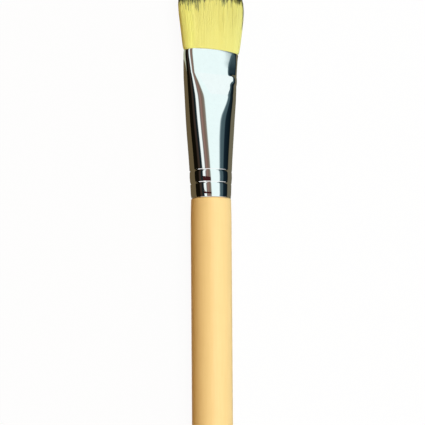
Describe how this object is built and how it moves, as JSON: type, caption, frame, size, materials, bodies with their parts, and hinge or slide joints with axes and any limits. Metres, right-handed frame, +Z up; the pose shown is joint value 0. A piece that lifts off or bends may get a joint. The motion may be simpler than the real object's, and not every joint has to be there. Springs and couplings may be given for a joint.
{
  "type": "foundation brush",
  "caption": "Flat foundation brush with a turned cream-lacquered wooden handle, a bright ferrule pressed from round to flat, and a rounded tuft of pale filaments with dark tips.",
  "frame": {"origin": "on the surface that the brush lies on, under the middle of its length", "axes": "+X along the brush from the handle's tail towards the tuft, +Y across the flat tuft's width, +Z up out of the tuft's flat"},
  "size_m": [0.1809, 0.02, 0.0114],
  "materials": {
    "handle_lacquer": "cream-yellow lacquer over turned wood, satin gloss",
    "ferrule_plate": "mirror-bright plating on drawn tube",
    "filament": "fine synthetic filaments, pale yellow with dark green-black tips",
    "set_resin": "clear amber resin, set",
    "binding_thread": "undyed waxed thread"
  },
  "bodies": {
    "root": {"handle": "handle_lacquer", "tenon_glue": "set_resin", "ferrule": "ferrule_plate", "root_resin": "set_resin", "root_binding": "binding_thread", "tuft": "filament"}
  },
  "joints": []
}
